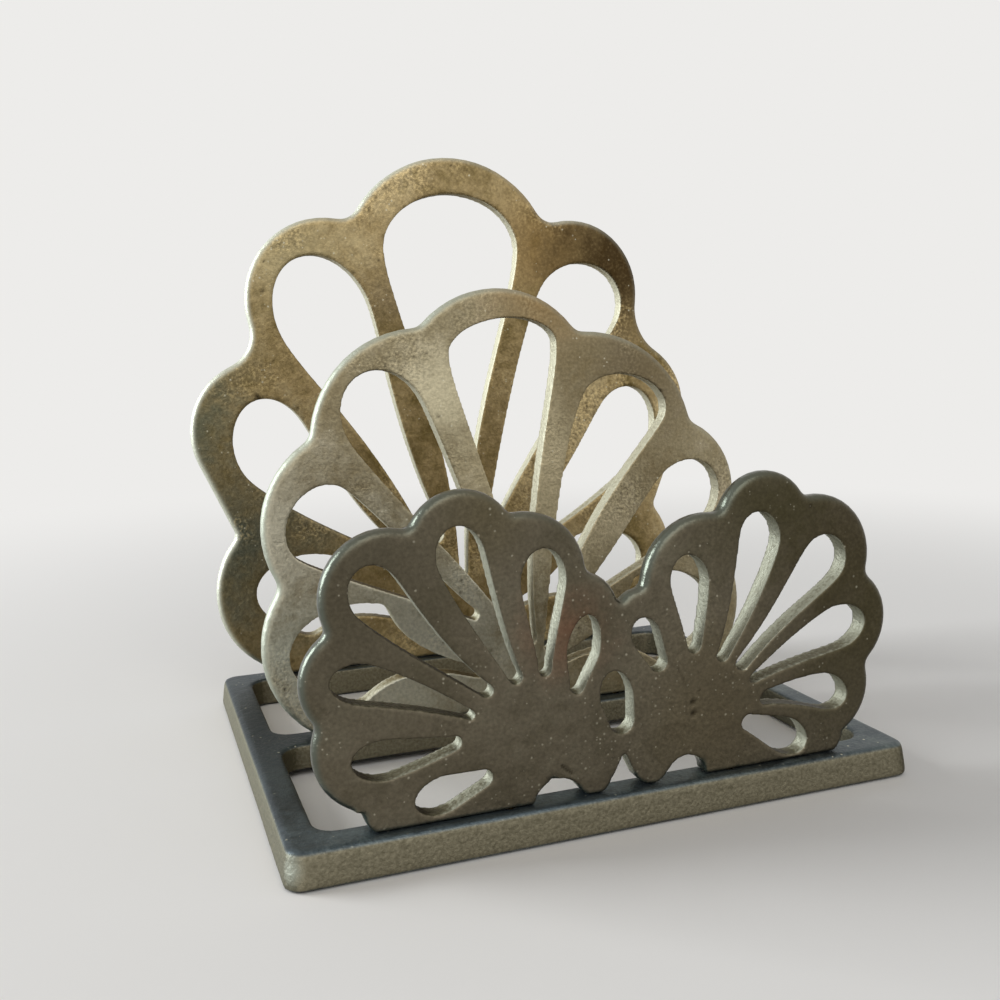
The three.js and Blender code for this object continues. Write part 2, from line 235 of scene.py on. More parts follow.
def cast_finish():
    """Geometry nodes that round the outline of a casting and give it the skin that the sand left.

    What the brass shows in a place is kept as attributes: "wall" is 0 on the dressed faces and 1 on the
    walls, "raw" is 1 on the walls of the slots and all the walls of the base, "lip" is 1 where a wall
    meets a face, "rim" is 1 on the outline of a plate, "rough" is 1 where the skin is coarse and "pit"
    is 1 in a pit.
    """
    tree = bpy.data.node_groups.new("cast_finish", "GeometryNodeTree")
    sockets = tree.interface
    sockets.new_socket("Geometry", in_out="INPUT", socket_type="NodeSocketGeometry")
    for name in ("Edge Radius", "Foot Radius", "Middle", "Half Thickness", "Hub Offset", "Hub Height",
                 "Pierced", "Wave Size", "Wave Depth", "Grain Size", "Grain Depth", "Coarseness",
                 "Pit Spacing", "Pit Depth", "Rest Height"):
        sockets.new_socket(name, in_out="INPUT", socket_type="NodeSocketFloat")
    sockets.new_socket("Wear Passes", in_out="INPUT", socket_type="NodeSocketInt")
    for name in ("Face Direction", "Low Corner", "High Corner"):
        sockets.new_socket(name, in_out="INPUT", socket_type="NodeSocketVector")
    sockets.new_socket("Material", in_out="INPUT", socket_type="NodeSocketMaterial")
    sockets.new_socket("Geometry", in_out="OUTPUT", socket_type="NodeSocketGeometry")
    given = add(tree, "NodeGroupInput").outputs

    place = add(tree, "GeometryNodeInputPosition")
    normal = add(tree, "GeometryNodeInputNormal")
    at = add(tree, "ShaderNodeSeparateXYZ", inputs={0: place}).outputs
    above = add(tree, "ShaderNodeMath", {"operation": "SUBTRACT"}, {0: at["Z"], 1: given["Rest Height"]})

    # the cosine to the face's direction is 1 on a face and 0 on a wall
    across = add(tree, "ShaderNodeVectorMath", {"operation": "DOT_PRODUCT"},
                 {0: normal, 1: given["Face Direction"]})
    facing = add(tree, "ShaderNodeMath", {"operation": "ABSOLUTE"}, {0: across.outputs["Value"]})
    wall = add(tree, "ShaderNodeMapRange", {"interpolation_type": "SMOOTHSTEP"},
               {0: facing, 1: 0.35, 2: 0.8, 3: 1.0, 4: 0.0})
    walled = add(tree, "GeometryNodeStoreNamedAttribute", inputs={
        "Geometry": given["Geometry"], "Name": "wall", "Value": wall})
    walls = add(tree, "GeometryNodeInputNamedAttribute", inputs={"Name": "wall"})

    # a ray away from the hub of the fan meets metal again inside a slot; on the outline it doesn't
    side = add(tree, "ShaderNodeMath", {"operation": "SIGN"}, {0: at["X"]})
    hub_x = add(tree, "ShaderNodeMath", {"operation": "MULTIPLY"}, {0: side, 1: given["Hub Offset"]})
    hub = add(tree, "ShaderNodeCombineXYZ", inputs={
        "X": hub_x, "Y": given["Middle"], "Z": given["Hub Height"]})
    core = add(tree, "ShaderNodeCombineXYZ", inputs={"X": at["X"], "Y": given["Middle"], "Z": at["Z"]})
    level = add(tree, "ShaderNodeVectorMath", {"operation": "MULTIPLY"}, {0: normal, 1: (1.0, 0.0, 1.0)})
    outward = add(tree, "ShaderNodeVectorMath", {"operation": "NORMALIZE"}, {0: level})
    clear = add(tree, "ShaderNodeVectorMath", {"operation": "MULTIPLY_ADD"},
                {0: outward, 1: (RAY_CLEARANCE,) * 3, 2: core})
    away = add(tree, "ShaderNodeVectorMath", {"operation": "SUBTRACT"}, {0: core, 1: hub})
    # and in a screw hole, low in a foot, there is metal close by across it or beside it
    along = add(tree, "ShaderNodeVectorMath", {"operation": "CROSS_PRODUCT"},
                {0: outward, 1: (0.0, 1.0, 0.0)})
    in_slot, across_hole, beside_hole = [
        add(tree, "GeometryNodeRaycast", inputs={
            "Target Geometry": given["Geometry"], "Source Position": clear, "Ray Direction": heading,
            "Ray Length": length}).outputs["Is Hit"]
        for heading, length in ((away, SLOT_RAY), (outward, HOLE_WIDTH), (along, HOLE_WIDTH))]
    narrow = add(tree, "ShaderNodeMath", {"operation": "MAXIMUM"}, {0: across_hole, 1: beside_hole})
    low = add(tree, "ShaderNodeMath", {"operation": "LESS_THAN"}, {0: above, 1: HOLE_TOP})
    in_hole = add(tree, "ShaderNodeMath", {"operation": "MULTIPLY"}, {0: narrow, 1: low})
    closed = add(tree, "ShaderNodeMath", {"operation": "MAXIMUM"}, {0: in_slot, 1: in_hole})
    open_side = add(tree, "ShaderNodeMath", {"operation": "SUBTRACT"}, {0: 1.0, 1: closed})
    plain = add(tree, "ShaderNodeMath", {"operation": "SUBTRACT"}, {0: 1.0, 1: given["Pierced"]})
    as_cast = add(tree, "ShaderNodeMath", {"operation": "MAXIMUM"}, {0: closed, 1: plain})
    raw = add(tree, "ShaderNodeMath", {"operation": "MULTIPLY"}, {0: as_cast, 1: wall})
    opened = add(tree, "GeometryNodeStoreNamedAttribute", inputs={
        "Geometry": walled, "Name": "raw", "Value": raw})

    # the outline is rounded over: what lies outside the round moves on to it, towards its centre
    behind = add(tree, "ShaderNodeMath", {"operation": "SUBTRACT"}, {0: at["Y"], 1: given["Middle"]})
    off_middle = add(tree, "ShaderNodeMath", {"operation": "ABSOLUTE"}, {0: behind})
    outer = add(tree, "ShaderNodeMath", {"operation": "MULTIPLY"}, {0: open_side, 1: walls})
    is_outer = add(tree, "ShaderNodeMath", {"operation": "GREATER_THAN"}, {0: outer, 1: 0.7})
    outline = add(tree, "GeometryNodeSeparateGeometry", {"domain": "POINT"},
                  {"Geometry": opened, "Selection": is_outer})
    nearest = add(tree, "GeometryNodeProximity", {"target_element": "FACES"},
                  {"Geometry": outline.outputs["Selection"], "Sample Position": core})
    under_face = add(tree, "ShaderNodeMath", {"operation": "SUBTRACT"},
                     {0: given["Half Thickness"], 1: off_middle})
    radius = add(tree, "ShaderNodeMapRange", {"interpolation_type": "SMOOTHSTEP"}, {
        0: above, 1: FOOT_ROUND_ENDS, 2: EDGE_ROUND_STARTS, 3: given["Foot Radius"], 4: given["Edge Radius"]})
    in_plane = add(tree, "ShaderNodeMath", {"operation": "SUBTRACT"},
                   {0: radius, 1: nearest.outputs["Distance"]})
    in_depth = add(tree, "ShaderNodeMath", {"operation": "SUBTRACT"}, {0: radius, 1: under_face})
    arms = add(tree, "ShaderNodeCombineXYZ", inputs={"X": in_plane, "Y": in_depth})
    from_centre = add(tree, "ShaderNodeVectorMath", {"operation": "MAXIMUM"}, {0: arms, 1: (0.0, 0.0, 0.0)})
    reach = add(tree, "ShaderNodeVectorMath", {"operation": "LENGTH"}, {0: from_centre})
    share = add(tree, "ShaderNodeMath", {"operation": "DIVIDE"}, {0: radius, 1: reach.outputs["Value"]})
    spare = add(tree, "ShaderNodeMath", {"operation": "SUBTRACT", "use_clamp": True}, {0: 1.0, 1: share})
    pull = add(tree, "ShaderNodeVectorMath", {"operation": "SCALE"}, {0: from_centre, "Scale": spare})
    pulls = add(tree, "ShaderNodeSeparateXYZ", inputs={0: pull}).outputs
    towards = add(tree, "ShaderNodeVectorMath", {"operation": "SUBTRACT"},
                  {0: nearest.outputs["Position"], 1: core})
    to_edge = add(tree, "ShaderNodeVectorMath", {"operation": "NORMALIZE"}, {0: towards})
    way = add(tree, "ShaderNodeMix", {"data_type": "VECTOR"}, {0: walls, 4: to_edge, 5: outward}).outputs[1]
    inwards = add(tree, "ShaderNodeMath", {"operation": "MULTIPLY"}, {0: pulls["X"], 1: -1.0})
    sideways = add(tree, "ShaderNodeVectorMath", {"operation": "SCALE"}, {0: way, "Scale": inwards})
    turn = add(tree, "ShaderNodeMath", {"operation": "SIGN"}, {0: behind})
    down = add(tree, "ShaderNodeMath", {"operation": "MULTIPLY"}, {0: pulls["Y"], 1: turn})
    deeper = add(tree, "ShaderNodeCombineXYZ", inputs={"Y": down})
    move = add(tree, "ShaderNodeVectorMath", {"operation": "SUBTRACT"}, {0: sideways, 1: deeper})
    near_rim = add(tree, "ShaderNodeMapRange", {"interpolation_type": "SMOOTHSTEP"},
                   {0: nearest.outputs["Distance"], 1: 0.0, 2: radius, 3: given["Pierced"], 4: 0.0})
    lip = add(tree, "ShaderNodeMapRange", {"interpolation_type": "SMOOTHSTEP"},
              {0: under_face, 1: LIP_HEIGHT, 2: LIP_ENDS, 3: given["Pierced"], 4: 0.0})
    lipped = add(tree, "GeometryNodeStoreNamedAttribute", inputs={
        "Geometry": opened, "Name": "lip", "Value": lip})
    rimmed = add(tree, "GeometryNodeStoreNamedAttribute", inputs={
        "Geometry": lipped, "Name": "rim", "Value": near_rim})
    rounded = add(tree, "GeometryNodeSetPosition", inputs={"Geometry": rimmed, "Offset": move})
    worn = add(tree, "GeometryNodeBlurAttribute", {"data_type": "FLOAT_VECTOR"},
               {"Value": place, "Iterations": given["Wear Passes"]})
    softened = add(tree, "GeometryNodeSetPosition", inputs={"Geometry": rounded, "Position": worn})

    # the faces are smooth in most places and coarse in some, and raw walls are coarse all over
    areas = add(tree, "ShaderNodeTexNoise", inputs={"Vector": place, "Scale": 1 / COARSE_AREA, "Detail": 2.0})
    coarse = add(tree, "ShaderNodeMapRange", {"interpolation_type": "SMOOTHSTEP"},
                 {0: areas, 1: 0.5, 2: 0.66, 3: 0.1, 4: 1.0})
    uneven = add(tree, "ShaderNodeMath", {"operation": "MULTIPLY"}, {0: coarse, 1: given["Coarseness"]})
    raws = add(tree, "GeometryNodeInputNamedAttribute", inputs={"Name": "raw"})
    rough = add(tree, "ShaderNodeMath", {"operation": "MAXIMUM"}, {0: uneven, 1: raws})
    roughened = add(tree, "GeometryNodeStoreNamedAttribute", inputs={
        "Geometry": softened, "Name": "rough", "Value": rough})
    waves_apart = add(tree, "ShaderNodeMath", {"operation": "DIVIDE"}, {0: 1.0, 1: given["Wave Size"]})
    waves = add(tree, "ShaderNodeTexNoise", inputs={"Vector": place, "Scale": waves_apart, "Detail": 1.0})
    wave = add(tree, "ShaderNodeMath", {"operation": "MULTIPLY"}, {0: waves, 1: given["Wave Depth"]})
    grains_apart = add(tree, "ShaderNodeMath", {"operation": "DIVIDE"}, {0: 1.0, 1: given["Grain Size"]})
    grains = add(tree, "ShaderNodeTexNoise", inputs={"Vector": place, "Scale": grains_apart, "Detail": 2.0})
    relief = add(tree, "ShaderNodeMath", {"operation": "MULTIPLY"}, {0: grains, 1: given["Grain Depth"]})
    skin = add(tree, "ShaderNodeMath", {"operation": "MULTIPLY_ADD"}, {0: relief, 1: rough, 2: wave})

    # a few places in a hundred have a pit, and up to three in ten where the skin is coarse
    pits_apart = add(tree, "ShaderNodeMath", {"operation": "DIVIDE"}, {0: 1.0, 1: given["Pit Spacing"]})
    cells = add(tree, "ShaderNodeTexVoronoi", {"feature": "F1"}, {"Vector": place, "Scale": pits_apart})
    bowl = add(tree, "ShaderNodeMapRange", {"interpolation_type": "SMOOTHSTEP"},
               {0: cells.outputs["Distance"], 1: 0.05, 2: 0.25, 3: 1.0, 4: 0.0})
    lot = add(tree, "FunctionNodeSeparateColor", inputs={0: cells.outputs["Color"]})
    bar = add(tree, "ShaderNodeMapRange", inputs={0: uneven, 1: 0.1, 2: 1.0, 3: 0.97, 4: 0.7})
    chosen = add(tree, "ShaderNodeMath", {"operation": "GREATER_THAN"}, {0: lot.outputs[0], 1: bar})
    pit = add(tree, "ShaderNodeMath", {"operation": "MULTIPLY"}, {0: bowl, 1: chosen})
    pitted = add(tree, "GeometryNodeStoreNamedAttribute", inputs={
        "Geometry": roughened, "Name": "pit", "Value": pit})
    depth = add(tree, "ShaderNodeMath", {"operation": "MULTIPLY_ADD"},
                {0: pit, 1: given["Pit Depth"], 2: skin})
    free = add(tree, "ShaderNodeMapRange", inputs={0: above, 1: SEAT_HEIGHT, 2: SKIN_STARTS, 3: 0.0, 4: -1.0})
    inward = add(tree, "ShaderNodeMath", {"operation": "MULTIPLY"}, {0: depth, 1: free})
    shift = add(tree, "ShaderNodeVectorMath", {"operation": "SCALE"}, {0: normal, "Scale": inward})
    cast = add(tree, "GeometryNodeSetPosition", inputs={"Geometry": pitted, "Offset": shift})

    # nothing stands proud of the solid's own box
    lowest = add(tree, "ShaderNodeVectorMath", {"operation": "MAXIMUM"}, {0: place, 1: given["Low Corner"]})
    inside = add(tree, "ShaderNodeVectorMath", {"operation": "MINIMUM"}, {0: lowest, 1: given["High Corner"]})
    fitted = add(tree, "GeometryNodeSetPosition", inputs={"Geometry": cast, "Position": inside})
    smooth = add(tree, "GeometryNodeSetShadeSmooth", inputs={"Geometry": fitted, "Shade Smooth": True})
    whole = add(tree, "GeometryNodeRealizeInstances", inputs={"Geometry": smooth})
    coated = add(tree, "GeometryNodeSetMaterial", inputs={"Geometry": whole, "Material": given["Material"]})
    add(tree, "NodeGroupOutput", inputs={"Geometry": coated})
    return tree


def set_inputs(modifier, values):
    """Sets a geometry nodes modifier's named inputs, each by its socket's identifier."""
    for item in modifier.node_group.interface.items_tree:
        if item.in_out == "INPUT" and item.name in values:
            modifier[item.identifier] = values[item.name]


def seat(piece, *nodes):
    """Puts a finished piece in the place of its CAD nodes."""
    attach(piece, BODY)
    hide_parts(*nodes)
    print(piece.name, len(piece.data.polygons), "faces")


def add_casting(node, finish, material, mesh_size, marks=(), **values):
    """Makes one casting from its CAD node, with its edges worn and its skin and marks on it."""
    low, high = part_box(node)
    piece = plain_object(node + "_cast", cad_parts[node])
    even = piece.modifiers.new("even", "REMESH")
    even.mode = "VOXEL"
    even.voxel_size = mesh_size
    even.use_smooth_shade = True
    skin = piece.modifiers.new("skin", "NODES")
    skin.node_group = finish
    set_inputs(skin, {
        "Middle": (low.y + high.y) / 2, "Half Thickness": (high.y - low.y) / 2,
        "Rest Height": low.z, "Low Corner": low, "High Corner": high, "Material": material,
        **SKIN, **values})
    applied(piece)
    mark_face(piece, low.y, marks)
    seat(piece, node)


# A mark moves only points this close behind the face. It is full depth out to 0.4 of its half width and
# ends at 1.4 of it, and from 0.1 mm deep it is as dark as a pit.
FACE_SKIN, MARK_ENDS, DARK_DEPTH = 0.6 * MM, 1.4, 0.1


def mark_face(piece, face_y, marks):
    """Presses blow-holes and scratches into a front face.

    Each mark has its two ends, which are the same for a round blow-hole, its half width and its depth.
    """
    mesh = piece.data
    points = np.empty(3 * len(mesh.vertices))
    mesh.vertices.foreach_get("co", points)
    points = points.reshape(-1, 3)
    pits = np.empty(len(points))
    mesh.attributes["pit"].data.foreach_get("value", pits)
    for start, end, half_width, depth in marks:
        first, run = np.array(start) * MM, (np.array(end) - np.array(start)) * MM
        flat = points[:, [0, 2]] - first
        along = np.clip(flat @ run / max(run @ run, 1e-12), 0, 1)
        off = np.linalg.norm(flat - along[:, None] * run, axis=1)
        near = np.clip(MARK_ENDS - off / (half_width * MM), 0, 1) * (points[:, 1] < face_y + FACE_SKIN)
        points[:, 1] += depth * MM * near
        pits = np.maximum(pits, near * min(depth / DARK_DEPTH, 1.0))
    mesh.vertices.foreach_set("co", points.ravel())
    mesh.attributes["pit"].data.foreach_set("value", pits)
    mesh.update()


# ---------------------------------------------------------------- screws

BLADE_LENGTH = 10 * MM  # longer than a head is wide, so the slot runs right across it
SOFT_BEND = 0.5         # radians; sharper edges, such as the slot's, stay crisp


def slotted_screw():
    """Geometry nodes that set a countersunk, slotted screw with its head down on every point."""
    tree = bpy.data.node_groups.new("slotted_screw", "GeometryNodeTree")
    sockets = tree.interface
    sockets.new_socket("Geometry", in_out="INPUT", socket_type="NodeSocketGeometry")
    for name in ("Head Radius", "Shank Radius", "Rim", "Length", "Pitch", "Thread Depth",
                 "Slot Width", "Slot Depth"):
        sockets.new_socket(name, in_out="INPUT", socket_type="NodeSocketFloat")
    sockets.new_socket("Material", in_out="INPUT", socket_type="NodeSocketMaterial")
    sockets.new_socket("Geometry", in_out="OUTPUT", socket_type="NodeSocketGeometry")
    given = add(tree, "NodeGroupInput").outputs

    rod = add(tree, "GeometryNodeMeshCylinder", {"fill_type": "NGON"},
              {"Vertices": 32, "Side Segments": 120, "Radius": 1.0, "Depth": given["Length"]}).outputs["Mesh"]
    half = add(tree, "ShaderNodeMath", {"operation": "MULTIPLY"}, {0: given["Length"], 1: 0.5})
    at = add(tree, "ShaderNodeSeparateXYZ", inputs={0: add(tree, "GeometryNodeInputPosition")}).outputs
    height = add(tree, "ShaderNodeMath", {"operation": "ADD"}, {0: at["Z"], 1: half})
    angle = add(tree, "ShaderNodeMath", {"operation": "ARCTAN2"}, {0: at["Y"], 1: at["X"]})
    # the head narrows at 45 degrees from its rim down to the shank, where the thread starts
    below_rim = add(tree, "ShaderNodeMath", {"operation": "SUBTRACT"}, {0: height, 1: given["Rim"]})
    drop = add(tree, "ShaderNodeMath", {"operation": "MAXIMUM"}, {0: below_rim, 1: 0.0})
    cone = add(tree, "ShaderNodeMath", {"operation": "SUBTRACT"}, {0: given["Head Radius"], 1: drop})
    core = add(tree, "ShaderNodeMath", {"operation": "MAXIMUM"}, {0: cone, 1: given["Shank Radius"]})
    turns = add(tree, "ShaderNodeMath", {"operation": "DIVIDE"}, {0: height, 1: given["Pitch"]})
    phase = add(tree, "ShaderNodeMath", {"operation": "MULTIPLY_ADD"}, {0: angle, 1: 0.5 / math.pi, 2: turns})
    flank = add(tree, "ShaderNodeMath", {"operation": "PINGPONG"}, {0: phase, 1: 0.5})
    groove = add(tree, "ShaderNodeMath", {"operation": "MULTIPLY"}, {0: flank, 1: given["Thread Depth"]})
    on_shank = add(tree, "ShaderNodeMath", {"operation": "LESS_THAN"}, {0: cone, 1: given["Shank Radius"]})
    cut = add(tree, "ShaderNodeMath", {"operation": "MULTIPLY"}, {0: groove, 1: on_shank})
    radius = add(tree, "ShaderNodeMath", {"operation": "SUBTRACT"}, {0: core, 1: cut})
    x = add(tree, "ShaderNodeMath", {"operation": "MULTIPLY"}, {0: at["X"], 1: radius})
    y = add(tree, "ShaderNodeMath", {"operation": "MULTIPLY"}, {0: at["Y"], 1: radius})
    shape = add(tree, "ShaderNodeCombineXYZ", inputs={"X": x, "Y": y, "Z": height})
    turned = add(tree, "GeometryNodeSetPosition", inputs={"Geometry": rod, "Position": shape})
    # the blade that cuts the slot is centred on the end of the head, so it is twice as deep as the slot
    deep = add(tree, "ShaderNodeMath", {"operation": "MULTIPLY"}, {0: given["Slot Depth"], 1: 2.0})
    size = add(tree, "ShaderNodeCombineXYZ", inputs={"X": BLADE_LENGTH, "Y": given["Slot Width"], "Z": deep})
    blade = add(tree, "GeometryNodeMeshCube", inputs={"Size": size})
    slotted = add(tree, "GeometryNodeMeshBoolean", {"operation": "DIFFERENCE"},
                  {"Mesh 1": turned, "Mesh 2": blade.outputs["Mesh"]})
    bend = add(tree, "GeometryNodeInputMeshEdgeAngle")
    gentle = add(tree, "ShaderNodeMath", {"operation": "LESS_THAN"},
                 {0: bend.outputs["Unsigned Angle"], 1: SOFT_BEND})
    smooth = add(tree, "GeometryNodeSetShadeSmooth", {"domain": "EDGE"},
                 {"Geometry": slotted.outputs["Mesh"], "Shade Smooth": gentle})
    copies = add(tree, "GeometryNodeInstanceOnPoints", inputs={
        "Points": given["Geometry"], "Instance": smooth})
    whole = add(tree, "GeometryNodeRealizeInstances", inputs={"Geometry": copies})
    coated = add(tree, "GeometryNodeSetMaterial", inputs={"Geometry": whole, "Material": given["Material"]})
    add(tree, "NodeGroupOutput", inputs={"Geometry": coated})
    return tree


def add_screws(material):
    """Makes the six screws as one piece, each in the place of its CAD node."""
    nodes = [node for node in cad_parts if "_screw_" in node]
    boxes = [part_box(node) for node in nodes]
    heads = [((low.x + high.x) / 2, (low.y + high.y) / 2, low.z) for low, high in boxes]
    low, high = boxes[0]
    mesh = bpy.data.meshes.new("shell_screws")
    mesh.from_pydata(heads, [], [])
    piece = bpy.data.objects.new("shell_screws", mesh)
    bpy.context.scene.collection.objects.link(piece)
    screw = piece.modifiers.new("screw", "NODES")
    screw.node_group = slotted_screw()
    set_inputs(screw, {
        "Head Radius": (high.x - low.x) / 2, "Shank Radius": 1.1 * MM, "Rim": 0.3 * MM,
        "Length": high.z - low.z, "Pitch": 0.6 * MM, "Thread Depth": 0.5 * MM,
        "Slot Width": 0.7 * MM, "Slot Depth": 0.7 * MM, "Material": material})
    seat(applied(piece), *nodes)


# ---------------------------------------------------------------- brass

# The side that faces the window lamp: walls and the outline get painted light on it and painted shade on
# the side away from it.
PAINTED_LIGHT_SIDE = Vector((-0.95, -0.1, 0.05)).normalized()

# Sizes in the patina. Casting sand leaves grains about 0.3 mm across; they are drawn coarser so that they
# show.
CLOUD, BLOTCH, MOTTLE, SAND = 22 * MM, 8 * MM, 2.6 * MM, 0.8 * MM
# There is at most one speck of dust to each cell, and the specks gather in drifts. A real speck is 0.1 mm or
# less; they are drawn 0.15 to 0.5 mm in radius, with faint edges, so that they show.
SPECK_CELL, DRIFT = 0.9 * MM, 9 * MM
DUST, PIT_DIRT = "dbd6bf", "2a2419"
# How rough a wall left as cast is, and how high the grain of the skin stands.
RAW_ROUGH, GRAIN_HEIGHT = 0.55, 0.3 * MM

# Grime clouds the screws at this size, and stands this high.
GRIME, GRIME_HEIGHT = 1.5 * MM, 0.05 * MM


def sand_cast_brass(name, face, grain_top, raw, rim="8b8c7e", rough=0.4, rim_rough=0.4, dust=None,
                    patches=(), painted_corner_highlight=None):
    """Sand-cast brass with the brown patina of age.

    The dressed faces are satin and clouded, with a coarse golden grain in places and pale dust in the
    smallest pits. The walls of the slots are sandy, with painted light on the side that faces the window
    lamp, painted shade on the other and a painted highlight along their lip; the rounded outline has a
    painted highlight on its lit side.

    face and raw hold three tones each, for the faces and for walls left as cast: from dark to light, or
    from the side with painted shade to the side with painted light. grain_top is the tone of the rubbed
    tops of the grain, and rim that of the painted highlight on the outline. dust is the centre and the
    reach of the place with most specks. Each patch gives another colour around its centre, and is its
    centre, its reach, its colour and the most that shows of it; some patches are another patina and some
    are painted reflections. The last argument is the centre, the reach and the colour of a painted
    highlight on a corner.
    """
    material = bpy.data.materials.new(name)
    material.use_nodes = True
    tree = material.node_tree
    tree.nodes.clear()
    where = add(tree, "ShaderNodeTexCoord").outputs
    place = where["Object"]

    kept = {key: add(tree, "ShaderNodeAttribute", {"attribute_name": key}).outputs["Fac"]
            for key in ("raw", "lip", "rim", "rough", "pit")}
    cloud = add(tree, "ShaderNodeTexNoise", inputs={"Vector": place, "Scale": 1 / CLOUD, "Detail": 5.0})
    mottle = add(tree, "ShaderNodeTexNoise", inputs={"Vector": place, "Scale": 1 / MOTTLE, "Detail": 4.0})
    sand = add(tree, "ShaderNodeTexNoise", inputs={"Vector": place, "Scale": 1 / SAND, "Detail": 4.0})

    # the mottle sways the clouds' tone by 0.35 about its middle
    tone = add(tree, "ShaderNodeMath", {"operation": "MULTIPLY_ADD"}, {0: mottle, 1: 0.35, 2: -0.175})
    tone = add(tree, "ShaderNodeMath", {"operation": "ADD"}, {0: tone, 1: cloud})
    patina = add(tree, "ShaderNodeValToRGB", inputs={0: tone},
                 stops=[(0.3, linear(face[0])), (0.5, linear(face[1])), (0.7, linear(face[2]))])
    blotch = add(tree, "ShaderNodeTexNoise", inputs={
        "Vector": place, "Scale": 1 / BLOTCH, "Detail": 4.0, "Distortion": 0.6})
    stain = add(tree, "ShaderNodeMapRange", {"interpolation_type": "SMOOTHSTEP"},
                {0: blotch, 1: 0.56, 2: 0.68, 3: 0.0, 4: 0.55})
    patina = add(tree, "ShaderNodeMix", {"data_type": "RGBA"}, {0: stain, 6: patina, 7: linear(face[0])})
    # a patch has a ragged edge, because the tone moves its border in and out
    for centre, reach, colour, most in patches:
        off = add(tree, "ShaderNodeVectorMath", {"operation": "DISTANCE"},
                  {0: place, 1: [v * MM for v in centre]})
        ragged = add(tree, "ShaderNodeMath", {"operation": "MULTIPLY_ADD"},
                     {0: tone, 1: -1.4 * reach * MM, 2: off.outputs["Value"]})
        near = add(tree, "ShaderNodeMapRange", {"interpolation_type": "SMOOTHSTEP"},
                   {0: ragged, 1: -0.7 * reach * MM, 2: 0.3 * reach * MM, 3: most, 4: 0.0})
        patina = add(tree, "ShaderNodeMix", {"data_type": "RGBA"}, {0: near, 6: patina, 7: linear(colour)})

    # coarse skin: the grain is worn bright on top and stays dark in its hollows
    gritty = add(tree, "ShaderNodeMath", {"operation": "MULTIPLY_ADD"}, {0: kept["rough"], 1: 1.4, 2: 0.7})
    swing = add(tree, "ShaderNodeMath", {"operation": "SUBTRACT"}, {0: sand, 1: 0.5})
    gain = add(tree, "ShaderNodeMath", {"operation": "MULTIPLY_ADD"}, {0: swing, 1: gritty, 2: 1.0})
    patina = add(tree, "ShaderNodeVectorMath", {"operation": "SCALE"}, {0: patina, "Scale": gain})
    top = add(tree, "ShaderNodeMapRange", inputs={0: sand, 1: 0.5, 2: 0.72, 3: 0.0, 4: 0.6})
    rubbed = add(tree, "ShaderNodeMath", {"operation": "MULTIPLY"}, {0: top, 1: kept["rough"]})
    patina = add(tree, "ShaderNodeMix", {"data_type": "RGBA"}, {0: rubbed, 6: patina, 7: linear(grain_top)})

    # dust that sits in the smallest pits as pale specks, in loose clusters; each cell has its own lot of
    # whether it has a speck, how pale it is and how large
    cells = add(tree, "ShaderNodeTexVoronoi", {"feature": "F1"}, {"Vector": place, "Scale": 1 / SPECK_CELL})
    lot = add(tree, "ShaderNodeSeparateColor", inputs={0: cells.outputs["Color"]})
    size = add(tree, "ShaderNodeMath", {"operation": "MULTIPLY_ADD"}, {0: lot.outputs[2], 1: 0.35, 2: 0.17})
    dot = add(tree, "ShaderNodeMapRange", {"interpolation_type": "SMOOTHSTEP"},
              {0: cells.outputs["Distance"], 1: 0.0, 2: size, 3: 1.0, 4: 0.0})
    drift = add(tree, "ShaderNodeTexNoise", inputs={"Vector": place, "Scale": 1 / DRIFT, "Detail": 2.0})
    if dust:
        centre, reach = dust
        off = add(tree, "ShaderNodeVectorMath", {"operation": "DISTANCE"},
                  {0: place, 1: [v * MM for v in centre]})
        near = add(tree, "ShaderNodeMapRange", inputs={
            0: off.outputs["Value"], 1: 0.0, 2: reach * MM, 3: 0.2, 4: 0.0})
        drift = add(tree, "ShaderNodeMath", {"operation": "ADD"}, {0: drift, 1: near})
    bar = add(tree, "ShaderNodeMapRange", inputs={0: drift, 1: 0.5, 2: 0.7, 3: 0.985, 4: 0.75})
    chosen = add(tree, "ShaderNodeMath", {"operation": "GREATER_THAN"}, {0: lot.outputs[0], 1: bar})
    speck = add(tree, "ShaderNodeMath", {"operation": "MULTIPLY"}, {0: dot, 1: chosen})
    dusty = add(tree, "ShaderNodeMath", {"operation": "MULTIPLY"}, {0: speck, 1: lot.outputs[1]})
    patina = add(tree, "ShaderNodeMix", {"data_type": "RGBA"}, {0: dusty, 6: patina, 7: linear(DUST)})
    pits = add(tree, "ShaderNodeMath", {"operation": "MULTIPLY"}, {0: kept["pit"], 1: 0.75})
    patina = add(tree, "ShaderNodeMix", {"data_type": "RGBA"}, {0: pits, 6: patina, 7: linear(PIT_DIRT)})
